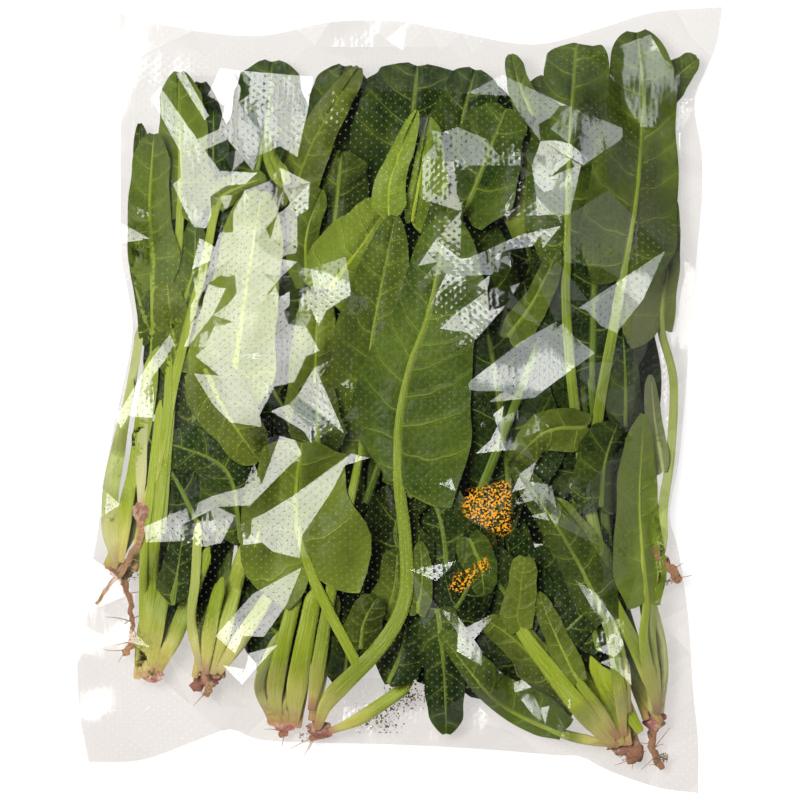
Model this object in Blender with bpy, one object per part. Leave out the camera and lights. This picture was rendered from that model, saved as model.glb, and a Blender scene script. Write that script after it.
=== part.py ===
"""A clear film bag packed with rooted spinach, lying on its back.

The sealed bag is one closed solid, out to its uneven outline. The back sheet lies flat
on the surface. The front sheet is drawn over the leaves in flat triangles between creases:
taut facets that stand off the leaves, and small folds around them. Past the leaves the
two sheets lie almost together, in a thin wavy margin with loose corners.

Lengths are in millimetres and angles in degrees until the mesh is made, in metres, +Z up.
X runs across the bag and +Y from the roots to the leaf tips. The origin is under the
middle of the bag, on the surface that it rests on.
"""

import math

import bpy
import numpy as np
from mathutils import Vector
from mathutils.geometry import delaunay_2d_cdt

MM = 0.001

# How thick the packed leaves are, at the root end and in the leafy part
ROOT_DEPTH = 35
LEAF_DEPTH = 50
# The packed part rises from the margin as if to its full depth over SHOULDER, but turns
# into a gentle slope at SHOULDER_CREASE
SHOULDER = 40
SHOULDER_CREASE = 30
TOP_SLOPE = 0.0014
LUMPS = 0.8
# The step of the back sheet from the surface up to the margin, just past the leaves
BACK_RISE = 20
# The two sheets of the empty margin, with the air between them
MARGIN_THICKNESS = 1.4
MARGIN_HEIGHT = 6
MARGIN_WAVE = 2.5
# How far the broad and the small facets stand clear of what is under them, and how far
# past their edges they fade
BROAD_CLEARANCE = 0.6
BROAD_FADE = 14
SMALL_CLEARANCE = 0.1
SMALL_FADE = 5

# How far apart the front sheet's folds lie: within a facet, near the edge of the leaves,
# in the middle and in the empty margin. How unevenly they rise, and what share of that is
# left within a facet
FACET_FOLD = 6
EDGE_FOLD = 8
MIDDLE_FOLD = 24
MARGIN_FOLD = 13
UNEVEN_FOLD = 0.45
CRUMPLE = 0.3
FOLD_SEED = 5

OUTLINE_STEP = 5
BACK_STEP = 13

# The bag's edges, each a smooth curve between two corners, going clockwise from the upper
# left corner
TOP_EDGE = [(-127, 175), (-112, 171), (-88, 166.5), (-62, 165), (-32, 171), (-2, 171.5),
            (23, 167), (60, 161), (90, 168), (115, 175.5), (146, 178)]
RIGHT_EDGE = [(146, 178), (143, 160), (135, 142), (133, 132), (136.5, 112), (136.5, 90),
              (134, 63), (131, 27), (128.5, -5), (126, -29), (122, -52), (126, -68),
              (130.5, -99), (132.5, -130), (135, -155), (135, -178)]
BOTTOM_EDGE = [(135, -178), (117, -175.5), (95, -168), (81, -161), (68, -160.5), (36, -158),
               (0, -156), (-45, -155), (-65, -153.5), (-77, -149), (-92, -154), (-117, -163),
               (-141, -164)]
# The left edge is in two, on either side of the notch where the film folds over itself
LOWER_LEFT_EDGE = [(-141, -164), (-145, -142), (-146, -119), (-144, -115), (-125, -109)]
LEFT_EDGE = [(-125, -109), (-143, -101), (-140.5, -81), (-136.5, -58), (-135, -40),
             (-130.5, -18), (-125, 7), (-121, 31), (-123, 49), (-126, 67), (-126.5, 112),
             (-126.5, 153), (-127, 175)]

# What the leaves, stalks and roots fill
FILL_OUTLINE = [(-113, 112), (-98, 145), (-60, 155), (-10, 160), (45, 155), (85, 159),
                (110, 166), (126, 150), (126, 100), (125, 60), (121, 0), (114, -55),
                (119, -100), (122, -162), (100, -159), (75, -152), (0, -148), (-45, -147),
                (-90, -135), (-114, -112), (-130, -78), (-126, -40), (-114, 10),
                (-114, 60)]

# The front sheet's broad facets: corners, the way each one faces, its slope, and how much
# steeper it gets for each millimetre downhill
BROAD_FACETS = [
    # the slanting band over the upper left leaves
    ([(-112, 136), (-108, 141), (-81, 103), (-64, 102), (-75, 92), (-81, 76), (-93, 78),
      (-98, 88), (-99, 112)], 154, 10.5, 0),
    # the long bright side
    ([(-75, 92), (-59, 98), (-52, 94), (-58, 72), (-46, 62), (-45, 38), (-36, 22), (-38, 14),
      (-62, -12), (-76, -10), (-81, 11), (-97, 24), (-94, 42), (-87, 56), (-81, 75)],
     160, 12, 0.02),
    # the long fold at the left side
    ([(-97, 39), (-94, 34), (-112, 10), (-126, -13), (-128, -8), (-114, 16)], 150, 11, 0),
    # the star at the upper right
    ([(46, 146), (47, 140), (54, 128), (63, 116), (72, 127), (75, 132)], 112, 12, 0),
    ([(75, 132), (104, 120), (82, 105), (63, 116), (72, 127)], 107, 12.5, 0),
    ([(63, 116), (81, 105), (76, 83), (72, 79), (61, 91), (59, 105)], 122, 13, 0),
    # the lower of the two slanting bands below it
    ([(119, 67), (75, 38), (93, 25), (109, 45)], 122, 12, 0),
    ([(75, 38), (54, 26), (60, 8), (76, 13), (93, 25)], 120, 13, 0.1),
    ([(54, 26), (32, 9), (40, -1), (60, 1), (76, 13), (60, 8)], 120, 13, 0.1),
    ([(40, -1), (49, -28), (60, -6)], 105, 11, 0),
    ([(50, -29), (74, -52), (70, -56), (60, -45)], 100, 11, 0),
    # the pale sheet over the top right corner
    ([(89, 156), (108, 123), (110, 134), (124, 132), (127, 148), (119, 154), (113, 165)], 100, 10, 0),
    # the darts at the lower left of the middle
    ([(-54, -16), (-40, -20), (-64, -44), (-72, -52), (-62, -38)], 155, 13, 0),
    ([(-22, -24), (-30, -40), (-44, -61), (-45, -71), (-57, -68), (-72, -56), (-61, -51),
      (-48, -43)], 155, 13, 0),
    ([(-44, -75), (-51, -92), (-68, -116), (-74, -114), (-83, -106), (-66, -87)], 148, 12, 0),
    # the bands across the stalks at the lower left
    ([(-115, -57), (-84, -43), (-82, -48), (-114, -64)], 150, 8.5, 0),
    # the folds over the roots
    ([(18, -94), (26, -97), (37, -113), (46, -123), (40, -124), (30, -110)], 125, 9, 0),
    ([(44, -122), (55, -126), (64, -133), (78, -152), (76, -154), (60, -142)], 125, 9, 0),
    ([(79, -81), (87, -86), (96, -98), (103, -116), (104, -128), (98, -122), (92, -103)], 125, 9, 0),
    # the upper left shoulder
    ([(-81, 149), (-71, 148), (-61, 116), (-66, 103), (-89, 131)], 158, 10, 0),
    ([(-71, 148), (-39, 145), (-41, 132), (-46, 109), (-54, 114), (-61, 116)], 160, 10.5, 0.1),
    # the ragged side of the long bright one
    ([(-52, 94), (-46, 82), (-46, 62), (-58, 72)], 155, 10, 0.1),
    ([(-46, 62), (-28, 52), (-22, 47), (-33, 40), (-45, 38)], 155, 12, 0.2),
    # the level parts between it and the star, over the largest leaf and beside the roots
    ([(-34, 140), (6, 138), (10, 108), (10, 90), (16, 72), (8, 60), (-14, 62), (-18, 84),
      (-32, 94)], 300, 3, 0),
    ([(-12, 52), (10, 54), (26, 10), (34, -6), (34, -30), (12, -40), (-14, -26), (-22, 10)],
     300, 3, 0),
    ([(56, -82), (70, -78), (84, -100), (94, -130), (76, -142), (62, -126), (52, -112)],
     320, 3, 0),
    # the two above the slanting bands
    ([(14, 121), (19, 120), (26, 112), (54, 111), (54, 105), (30, 105), (17, 108)], 110, 10, 0.3),
    ([(72, 78), (54, 74), (32, 64), (17, 62), (21, 57), (39, 49), (64, 68)], 117, 12, 0.15),
    ([(35, 52), (39, 49), (64, 68), (47, 42), (34, 27)], 122, 13, 0),
    # the two finely crumpled ones in the middle
    ([(25, -41), (36, -38), (50, -35), (51, -60), (46, -62), (38, -58), (28, -52)], 330, 14, 0),
    ([(21, -85), (24, -78), (39, -70), (41, -75), (28, -87)], 330, 14, 0),
]
# Small facets that lie on the broad ones
SMALL_FACETS = [
    ([(-101, 147), (-98, 149), (-86, 128), (-88, 126)], 155, 12.5, 0),
    ([(-81, 75), (-87, 56), (-74, 56)], 160, 14.5, 0),
    ([(-86, 52), (-78, 50), (-84, 38), (-95, 24), (-94, 40)], 168, 8.5, 0),
    ([(-68, 36), (-56, 52), (-50, 34), (-60, 22)], 166, 9, 0),
    ([(-38, 15), (-36, 10), (-25, -15), (-36, -6), (-46, 2)], 155, 13, 0),
    ([(-58, -5), (-50, -2), (-41, -12), (-40, -19), (-43, -14)], 155, 13, 0),
    ([(-68, -114), (-55, -110), (-66, -122), (-71, -128)], 145, 11, 0),
    ([(-90, -55), (-74, -52), (-80, -64), (-88, -66)], 150, 11, 0),
]


def ease(t):
    """0 to 1 with level ends, held at 0 and 1 outside."""
    t = np.clip(t, 0, 1)
    return t * t * (3 - 2 * t)


def smooth_edge(points, step):
    """Points about a step apart on a smooth curve through the given ones, without the last."""
    points = np.asarray(points, float)
    ends = np.concatenate([[2 * points[0] - points[1]], points, [2 * points[-1] - points[-2]]])
    found = []
    for before, start, end, after in zip(ends, ends[1:], ends[2:], ends[3:]):
        count = max(1, round(np.linalg.norm(end - start) / step))
        t = np.arange(count)[:, None] / count
        found.append(0.5 * (2 * start + (end - before) * t
                            + (2 * before - 5 * start + 4 * end - after) * t ** 2
                            + (3 * start - before - 3 * end + after) * t ** 3))
    return np.concatenate(found)


def bag_outline():
    """The bag's whole outline, anticlockwise."""
    sides = (TOP_EDGE, RIGHT_EDGE, BOTTOM_EDGE, LOWER_LEFT_EDGE, LEFT_EDGE)
    return np.concatenate([smooth_edge(side, OUTLINE_STEP) for side in sides])[::-1]


def split_ring(corners, step):
    """The closed ring's straight edges split into steps."""
    corners = np.asarray(corners, float)
    found = []
    for start, end in zip(corners, np.roll(corners, -1, axis=0)):
        count = max(1, round(np.linalg.norm(end - start) / step))
        found.append(start + (end - start) * np.arange(count)[:, None] / count)
    return np.concatenate(found)


def depth_inside(points, ring):
    """How deep each point lies inside a closed ring, negative when it lies outside."""
    start = np.asarray(ring, float)
    along = np.roll(start, -1, axis=0) - start
    reach = points[:, None] - start[None]
    share = np.clip((reach * along).sum(2) / (along ** 2).sum(1), 0, 1)
    gap = np.linalg.norm(reach - share[..., None] * along, axis=2).min(1)
    x, y = points[:, :1], points[:, 1:]
    height = np.where(along[:, 1] == 0, 1e-9, along[:, 1])
    spans = (start[:, 1] > y) != (start[:, 1] + along[:, 1] > y)
    crossing = start[:, 0] + (y - start[:, 1]) / height * along[:, 0]
    inside = (spans & (x < crossing)).sum(1) % 2 == 1
    return np.where(inside, gap, -gap)


def margin_height(points):
    """The middle of the empty margin, which waves a little and droops at the corners."""
    x, y = points.T
    wave = np.sin(x / 19 + 1.3) + np.sin(y / 27 - 0.6)
    corner = ease((np.linalg.norm(points, axis=1) - 165) / 60)
    return (MARGIN_HEIGHT + 0.5 * MARGIN_WAVE * wave) * (1 - 0.45 * corner)


def packed_height(points):
    """How high the leaves push the front sheet."""
    x, y = points.T
    depth = np.maximum(0, depth_inside(points, FILL_OUTLINE))
    full = ROOT_DEPTH + (LEAF_DEPTH - ROOT_DEPTH) * ease((y + 140) / 190)
    lumps = np.sin(x / 23 + 0.7) * np.sin(y / 31 + 0.4) + 0.6 * np.sin(x / 13 - y / 17)
    steep = 1 - (1 - np.minimum(depth, SHOULDER_CREASE) / SHOULDER) ** 2.3
    rise = np.minimum(1, steep + TOP_SLOPE * np.maximum(0, depth - SHOULDER_CREASE))
    base = margin_height(points) + MARGIN_THICKNESS / 2
    return base + (full - base) * rise + LUMPS * lumps * rise


def back_height(points):
    """The back sheet: flat on the surface under the leaves, and rising to the margin."""
    rise = 1 - ease(depth_inside(points, FILL_OUTLINE) / BACK_RISE)
    return (margin_height(points) - MARGIN_THICKNESS / 2) * rise


def facet_plane(points, facet, below, clearance):
    """The height of one facet's sheet, which clears the surface below at its middle."""
    corners, facing, slope, curl = facet
    rim = split_ring(corners, 5)
    middle = rim.mean(0)
    out = np.array([math.cos(math.radians(facing)), math.sin(math.radians(facing))])

    def drop(where):
        down = (where - middle) @ out
        return math.tan(math.radians(slope)) * down + 0.5 * math.radians(curl) * down ** 2

    level = (below(rim) + drop(rim)).mean() + clearance
    return level - drop(points)


def faceted(points, below, facets, fade, clearance):
    """The surface below with these facets laid on it."""
    base = below(points)
    total, weights, nearest = (np.zeros(len(points)) for _ in range(3))
    for facet in facets:
        share = np.clip(1 + np.minimum(0, depth_inside(points, facet[0])) / fade, 0, 1)
        weight = share ** 9
        total += weight * (facet_plane(points, facet, below, clearance) - base)
        weights += weight
        nearest = np.maximum(nearest, share)
    return base + total / np.maximum(weights, 1e-9) * ease(nearest)


def broad_height(points):
    """The front sheet with its broad facets."""
    return faceted(points, packed_height, BROAD_FACETS, BROAD_FADE, BROAD_CLEARANCE)


def facet_height(points):
    """The front sheet over the leaves, with all its facets."""
    return faceted(points, broad_height, SMALL_FACETS, SMALL_FADE, SMALL_CLEARANCE)


def fold_corners(outline, facets, laid, chance):
    """Places for the folds' corners, close together near a facet and near the edge of the
    leaves, and far apart elsewhere."""
    tries = chance.uniform(outline.min(0), outline.max(0), (12000, 2))
    tries = tries[depth_inside(tries, outline) > 3]
    depth = depth_inside(tries, FILL_OUTLINE)
    space = EDGE_FOLD + (MIDDLE_FOLD - EDGE_FOLD) * ease(depth / 40)
    space[depth < 0] = MARGIN_FOLD
    nearest = np.maximum.reduce([depth_inside(tries, facet[0]) for facet in facets])
    space = np.minimum(space, FACET_FOLD - 0.8 * np.minimum(nearest, 0))
    kept = []
    for place, room in zip(tries, space):
        if np.hypot(*(laid - place).T).min() < 0.5 * room:
            continue
        if kept and np.hypot(*(np.array(kept) - place).T).min() < room:
            continue
        kept.append(place)
    return np.array(kept)


def sheet(outline, rings, loose):
    """A flat triangulated sheet inside the outline, with edges along the given rings. Gives
    its points, its triangles facing up, and which points lie on the outline, in order."""
    points = [Vector(p) for p in outline]
    edges = [(i, (i + 1) % len(points)) for i in range(len(points))]
    for ring in rings:
        first = len(points)
        points += [Vector(p) for p in ring]
        edges += [(first + i, first + (i + 1) % len(ring)) for i in range(len(ring))]
    points += [Vector(p) for p in loose]
    found = delaunay_2d_cdt(points, edges, [], 1, 1e-5)
    flat = np.array([tuple(p) for p in found[0]])
    triangles = np.array(found[2])
    a, b, c = (flat[triangles[:, i]] for i in range(3))
    turned = np.cross(b - a, c - a) < 0
    triangles[turned] = triangles[turned][:, ::-1]
    vertex_of = {source: vertex for vertex, made_from in enumerate(found[3])
                 for source in made_from}
    rim = np.array([vertex_of[i] for i in range(len(outline))])
    return flat, triangles, rim


def front_sheet(outline):
    """The front sheet's points, triangles and rim."""
    chance = np.random.default_rng(FOLD_SEED)
    facets = BROAD_FACETS + SMALL_FACETS
    rings = [split_ring(facet[0], FACET_FOLD) for facet in facets]
    loose = fold_corners(outline, facets, np.concatenate([outline, *rings]), chance)
    flat, triangles, rim = sheet(outline, rings, loose)
    depth = np.maximum.reduce([depth_inside(flat, facet[0]) for facet in facets])
    free = np.where(depth < -0.5, np.clip(-depth / 20, 0.2, 1), CRUMPLE * (depth > 0.5))
    free[rim] = 0
    uneven = chance.normal(0, UNEVEN_FOLD, len(flat))
    in_margin = depth_inside(flat, FILL_OUTLINE) < 0
    uneven = np.where(in_margin, np.clip(2 * uneven, -0.3, 1.2), uneven)
    height = facet_height(flat) + uneven * free
    height = np.maximum(height, back_height(flat) + MARGIN_THICKNESS * 0.7)
    return np.column_stack([flat, height]), triangles, rim


def back_sheet(outline):
    """The back sheet's points, triangles and rim."""
    low, high = outline.min(0), outline.max(0)
    grid = np.stack(np.meshgrid(np.arange(low[0], high[0], BACK_STEP),
                                np.arange(low[1], high[1], BACK_STEP)), -1).reshape(-1, 2)
    grid = grid[depth_inside(grid, outline) > 0.5 * BACK_STEP]
    flat, triangles, rim = sheet(outline, [], grid)
    return np.column_stack([flat, back_height(flat)]), triangles, rim


def film_material():
    """Clear glossy film, tinted by the leaves behind it."""
    material = bpy.data.materials.new("film")
    material.use_nodes = True
    shader = material.node_tree.nodes["Principled BSDF"]
    shader.inputs["Base Color"].default_value = (0.20, 0.30, 0.09, 1)
    shader.inputs["Roughness"].default_value = 0.12
    shader.inputs["Metallic"].default_value = 0
    return material


def spinach_bag():
    """The filled bag: front sheet, back sheet and the thin upright rim that joins them."""
    outline = bag_outline()
    front, front_faces, front_rim = front_sheet(outline)
    back, back_faces, back_rim = back_sheet(outline)
    back_rim = back_rim + len(front)
    rim_faces = np.stack([back_rim, np.roll(back_rim, -1), np.roll(front_rim, -1), front_rim], 1)
    faces = [*front_faces.tolist(), *(back_faces[:, ::-1] + len(front)).tolist(),
             *rim_faces.tolist()]
    mesh = bpy.data.meshes.new("spinach_bag")
    mesh.from_pydata((np.concatenate([front, back]) * MM).tolist(), [], faces)
    mesh.update()
    mesh.materials.append(film_material())
    bag = bpy.data.objects.new("spinach_bag", mesh)
    bpy.context.scene.collection.objects.link(bag)
    mesh.shade_smooth()
    mesh.set_sharp_from_angle(angle=math.radians(5))
    return bag


def main():
    for leftover in list(bpy.data.objects):
        bpy.data.objects.remove(leftover)
    spinach_bag()


main()
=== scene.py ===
"""Looks of a clear film bag packed with rooted spinach, lying on its back.

The plants are laid in the bag one leaf at a time, from the back sheet up. Each new leaf
or stalk drapes over what already lies there, and the whole pile is then pressed to the
height of the front sheet. The film is the closed surface of the CAD solid itself, whose
front sheet is drawn into flat facets between creases.

Lengths are in millimetres, X across the bag and Y from the roots to the leaf tips. They
become metres when a mesh is made. Angles are in degrees.
"""

import math

import bpy
import numpy as np
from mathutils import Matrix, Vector
from mathutils.bvhtree import BVHTree


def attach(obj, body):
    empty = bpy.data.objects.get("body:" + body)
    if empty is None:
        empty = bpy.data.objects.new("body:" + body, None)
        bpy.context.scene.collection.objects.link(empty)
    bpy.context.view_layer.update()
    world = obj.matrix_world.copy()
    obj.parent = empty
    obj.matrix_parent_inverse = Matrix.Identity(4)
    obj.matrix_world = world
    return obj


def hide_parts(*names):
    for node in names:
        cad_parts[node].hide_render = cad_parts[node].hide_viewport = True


MM = 0.001
BAG = "spinach_bag"

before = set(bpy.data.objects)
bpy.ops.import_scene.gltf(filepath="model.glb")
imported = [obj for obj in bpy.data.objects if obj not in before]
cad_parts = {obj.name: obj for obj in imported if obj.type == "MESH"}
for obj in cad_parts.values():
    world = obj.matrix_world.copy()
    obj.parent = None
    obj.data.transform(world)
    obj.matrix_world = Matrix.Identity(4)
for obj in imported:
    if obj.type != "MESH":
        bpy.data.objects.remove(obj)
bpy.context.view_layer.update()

# The lights that the film mirrors, and the one that fills the shadows: the way each one
# lies and how far off the vertical
KEY_HEADING, KEY_TILT = 160, 29
SIDE_HEADING, SIDE_TILT = 118, 27
FILL_HEADING, FILL_TILT = -15, 55

# The corners of the front sheet's taut facets, where the film is smooth
TAUT_FACETS = [
    [(-112, 136), (-108, 141), (-81, 103), (-64, 102), (-75, 92), (-81, 76), (-93, 78),
     (-98, 88), (-99, 112)],
    [(-75, 92), (-59, 98), (-52, 94), (-58, 72), (-46, 62), (-45, 38), (-36, 22), (-38, 14),
     (-62, -12), (-76, -10), (-81, 11), (-97, 24), (-94, 42), (-87, 56), (-81, 75)],
    [(-97, 39), (-94, 34), (-112, 10), (-126, -13), (-128, -8), (-114, 16)],
    [(46, 146), (47, 140), (54, 128), (63, 116), (72, 127), (75, 132)],
    [(75, 132), (104, 120), (82, 105), (63, 116), (72, 127)],
    [(63, 116), (81, 105), (76, 83), (72, 79), (61, 91), (59, 105)],
    [(119, 67), (75, 38), (93, 25), (109, 45)],
    [(75, 38), (54, 26), (60, 8), (76, 13), (93, 25)],
    [(54, 26), (32, 9), (40, -1), (60, 1), (76, 13), (60, 8)],
    [(40, -1), (49, -28), (60, -6)],
    [(50, -29), (74, -52), (70, -56), (60, -45)],
    [(89, 156), (108, 123), (110, 134), (124, 132), (127, 148), (119, 154), (113, 165)],
    [(-54, -16), (-40, -20), (-64, -44), (-72, -52), (-62, -38)],
    [(-22, -24), (-30, -40), (-44, -61), (-45, -71), (-57, -68), (-72, -56), (-61, -51),
     (-48, -43)],
    [(-44, -75), (-51, -92), (-68, -116), (-74, -114), (-83, -106), (-66, -87)],
    [(-115, -57), (-84, -43), (-82, -48), (-114, -64)],
    [(18, -94), (26, -97), (37, -113), (46, -123), (40, -124), (30, -110)],
    [(44, -122), (55, -126), (64, -133), (78, -152), (76, -154), (60, -142)],
    [(79, -81), (87, -86), (96, -98), (103, -116), (104, -128), (98, -122), (92, -103)],
]
# The corners of its two finely crumpled facets, which have orange flecks, a painted reflection of
# something warm
ORANGE_REFLECTION_FACETS = [
    [(25, -41), (36, -38), (50, -35), (51, -60), (46, -62), (38, -58), (28, -52)],
    [(21, -85), (24, -78), (39, -70), (41, -75), (28, -87)],
]


def ease(t):
    """0 to 1 with level ends, held at 0 and 1 outside."""
    t = np.clip(t, 0, 1)
    return t * t * (3 - 2 * t)


def heading(degrees):
    """The unit vector across the bag at this angle from +X."""
    angle = math.radians(degrees)
    return np.array([math.cos(angle), math.sin(angle)])


def depth_inside(points, ring):
    """How deep each point lies inside a closed ring, negative when it lies outside."""
    start = np.asarray(ring, float)
    along = np.roll(start, -1, axis=0) - start
    reach = points[:, None] - start[None]
    share = np.clip((reach * along).sum(2) / (along ** 2).sum(1), 0, 1)
    gap = np.linalg.norm(reach - share[..., None] * along, axis=2).min(1)
    x, y = points[:, :1], points[:, 1:]
    height = np.where(along[:, 1] == 0, 1e-9, along[:, 1])
    spans = (start[:, 1] > y) != (start[:, 1] + along[:, 1] > y)
    crossing = start[:, 0] + (y - start[:, 1]) / height * along[:, 0]
    inside = (spans & (x < crossing)).sum(1) % 2 == 1
    return np.where(inside, gap, -gap)


def split_ring(corners, step):
    """The closed ring's straight edges split into steps."""
    corners = np.asarray(corners, float)
    found = []
    for start, end in zip(corners, np.roll(corners, -1, axis=0)):
        count = max(1, round(np.linalg.norm(end - start) / step))
        found.append(start + (end - start) * np.arange(count)[:, None] / count)
    return np.concatenate(found)


# ---------------------------------------------------------------- making meshes

class Piece:
    """One visible piece, gathered from many closed shells."""

    def __init__(self, name):
        self.name = name
        self.points, self.faces, self.uvs = [], [], []
        self.values = {}
        self.count = 0

    def add(self, points, faces, uv, **values):
        """Adds a shell: its points, its faces as arrays of corner numbers, a flat
        coordinate for each point, and numbers that its material reads."""
        self.points.append(points)
        self.faces += [np.asarray(f) + self.count for f in faces]
        self.uvs.append(uv)
        for key, value in values.items():
            self.values.setdefault(key, []).append(np.broadcast_to(value, len(points)))
        self.count += len(points)

    def build(self, material, sharp=60):
        """Makes the object, in metres, and lets it ride on the bag's one body."""
        points = np.concatenate(self.points)
        uvs = np.concatenate(self.uvs)
        mesh = bpy.data.meshes.new(self.name)
        mesh.vertices.add(len(points))
        mesh.vertices.foreach_set("co", (points * MM).astype(np.float32).ravel())
        corners = np.concatenate([f.ravel() for f in self.faces])
        sizes = np.concatenate([np.full(len(f), f.shape[1]) for f in self.faces])
        mesh.loops.add(len(corners))
        mesh.loops.foreach_set("vertex_index", corners.astype(np.int32))
        mesh.polygons.add(len(sizes))
        starts = np.concatenate([[0], np.cumsum(sizes)[:-1]])
        mesh.polygons.foreach_set("loop_start", starts.astype(np.int32))
        mesh.update(calc_edges=True)
        layer = mesh.uv_layers.new(name="flat")
        layer.uv.foreach_set("vector", uvs[corners].astype(np.float32).ravel())
        for key, value in self.values.items():
            attribute = mesh.attributes.new(key, "FLOAT", "POINT")
            attribute.data.foreach_set("value", np.concatenate(value).astype(np.float32))
        mesh.shade_smooth()
        mesh.set_sharp_from_angle(angle=math.radians(sharp))
        mesh.materials.append(material)
        piece = bpy.data.objects.new(self.name, mesh)
        bpy.context.scene.collection.objects.link(piece)
        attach(piece, "root")
        return piece


def grid_faces(rows, columns, first=0, ring=False):
    """The quads of a grid of points, row by row. A ring's columns close on themselves."""
    row, column = np.meshgrid(np.arange(rows - 1), np.arange(columns - (not ring)),
                              indexing="ij")
    after = (column + 1) % columns
    quads = np.stack([row * columns + column, row * columns + after,
                      (row + 1) * columns + after, (row + 1) * columns + column], -1)
    return quads.reshape(-1, 4) + first


def smooth_line(points, step):
    """Points about a step apart on a smooth curve through the given ones."""
    points = np.asarray(points, float)
    ends = np.concatenate([[2 * points[0] - points[1]], points, [2 * points[-1] - points[-2]]])
    found = []
    for i in range(len(points) - 1):
        before, start, end, after = ends[i:i + 4]
        count = max(1, round(np.linalg.norm(end - start) / step))
        t = np.arange(count)[:, None] / count
        found.append(0.5 * (2 * start + (end - before) * t
                            + (2 * before - 5 * start + 4 * end - after) * t ** 2
                            + (3 * start - before - 3 * end + after) * t ** 3))
    return np.concatenate([*found, points[-1:]])


def lengths_along(line):
    """How far along the line each of its points lies."""
    steps = np.linalg.norm(np.diff(line, axis=0), axis=1)
    return np.concatenate([[0], np.cumsum(steps)])


def across(line):
    """The unit vectors along a flat line, and those to its left."""
    forward = np.gradient(line, axis=0)
    forward /= np.linalg.norm(forward, axis=1)[:, None]
    return forward, np.stack([-forward[:, 1], forward[:, 0]], 1)


# ---------------------------------------------------------------- the pile of plants

class Bag:
    """The CAD bag's closed surface: its points, its faces, its flat outline and the heights
    of its two sheets."""

    def __init__(self):
        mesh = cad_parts[BAG].data
        found = np.array([vertex.co[:] for vertex in mesh.vertices]) / MM
        rounded = np.round(found, 2)
        self.points, merged = np.unique(rounded, axis=0, return_inverse=True)
        merged = merged.ravel()
        self.faces = np.array([merged[list(face.vertices)] for face in mesh.polygons])
        self.tree = BVHTree.FromPolygons([Vector(p) for p in self.points],
                                         [tuple(map(int, face)) for face in self.faces])
        self.outline = self.walked_rim()

    def walked_rim(self):
        """The outline, anticlockwise, walked along the thin upright rim."""
        after = {}
        for face in self.faces:
            corners = self.points[face]
            normal = np.cross(corners[1] - corners[0], corners[2] - corners[0])
            if abs(normal[2]) > 0.2 * np.linalg.norm(normal):
                continue
            for a, b in zip(corners, np.roll(corners, -1, axis=0)):
                if np.hypot(*(a - b)[:2]) > 0.5:
                    after.setdefault(tuple(a[:2]), set()).add(tuple(b[:2]))
                    after.setdefault(tuple(b[:2]), set()).add(tuple(a[:2]))
        start = min(after)
        ring, previous = [start], None
        while True:
            forward = [p for p in after[ring[-1]] if p != previous and p not in ring[1:]]
            previous = ring[-1]
            if not forward or forward[0] == start and len(ring) > 2:
                break
            ring.append(forward[0])
        ring = np.array(ring)
        x, y = ring.T
        area = (x * np.roll(y, -1) - np.roll(x, -1) * y).sum()
        return ring if area > 0 else ring[::-1]

    def heights(self, places, direction):
        """Where a line straight down (-1) or straight up (1) first meets the bag over each
        flat point, or the margin's usual height outside the bag."""
        found = np.full(len(places), 6.0 - 0.7 * direction)
        for i, (x, y) in enumerate(places):
            hit = self.tree.ray_cast((x, y, -500 * direction), (0, 0, direction))[0]
            if hit is not None:
                found[i] = hit[2]
        return found


class Pile:
    """What already lies in the bag, as the height of its top over a grid."""

    CELL = 2.0
    HALF_WIDTH, HALF_LENGTH = 150, 182

    def __init__(self):
        xs = np.arange(-self.HALF_WIDTH, self.HALF_WIDTH + 1, self.CELL)
        ys = np.arange(-self.HALF_LENGTH, self.HALF_LENGTH + 1, self.CELL)
        grid = np.stack(np.meshgrid(xs, ys, indexing="ij"), -1)
        self.shape = grid.shape[:2]
        self.points = grid.reshape(-1, 2)
        self.floor = bag.heights(self.points, 1).reshape(self.shape) + 0.8
        self.ceiling = bag.heights(self.points, -1).reshape(self.shape) - 1.0
        self.ceiling = np.maximum(self.ceiling, self.floor + 0.6)
        self.top = self.floor.copy()
        depth = depth_inside(self.points, OUTLINE).reshape(self.shape)
        self.edge_depth = blurred(depth, 2)
        self.inward = [np.gradient(self.edge_depth, self.CELL, axis=i) for i in (0, 1)]

    def read(self, field, points):
        """A grid field's value at each point, interpolated."""
        place = (points + [self.HALF_WIDTH, self.HALF_LENGTH]) / self.CELL
        place = np.clip(place, 0, np.array(self.shape) - 1.001)
        corner = place.astype(int)
        share = place - corner
        i, j = corner.T
        a, b = share.T
        return ((1 - a) * (1 - b) * field[i, j] + a * (1 - b) * field[i + 1, j]
                + (1 - a) * b * field[i, j + 1] + a * b * field[i + 1, j + 1])

    def lay(self, points, heights):
        """Raises the top to what was laid down."""
        place = np.rint((points + [self.HALF_WIDTH, self.HALF_LENGTH]) / self.CELL)
        i, j = np.clip(place, 0, np.array(self.shape) - 1).astype(int).T
        np.maximum.at(self.top, (i, j), heights)

    def keep_inside(self, points, gap=2.0, soft=4.0):
        """Points moved inward so that none lies nearer than gap to the bag's edge."""
        depth = self.read(self.edge_depth, points)
        past = np.abs(points) - [self.HALF_WIDTH, self.HALF_LENGTH]
        depth = depth - np.maximum(past, 0).sum(1)
        inward = np.stack([self.read(field, points) for field in self.inward], 1)
        inward /= np.maximum(np.linalg.norm(inward, axis=1), 0.2)[:, None]
        wanted = gap + soft * np.exp(np.minimum(depth - gap - soft, 0) / soft)
        move = np.where(depth < gap + soft, wanted - depth, 0)
        return points + inward * move[:, None]

    def bed(self, reach=2, softness=10):
        """The smooth surface that the next leaf drapes over."""
        return blurred(widened(self.top, reach), softness)


def widened(field, reach):
    """The highest value within reach cells, over a grid or along a line."""
    for _ in range(reach):
        for axis in range(field.ndim):
            beside = np.maximum(shifted(field, 1, axis), shifted(field, -1, axis))
            field = np.maximum(field, beside)
    return field


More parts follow.
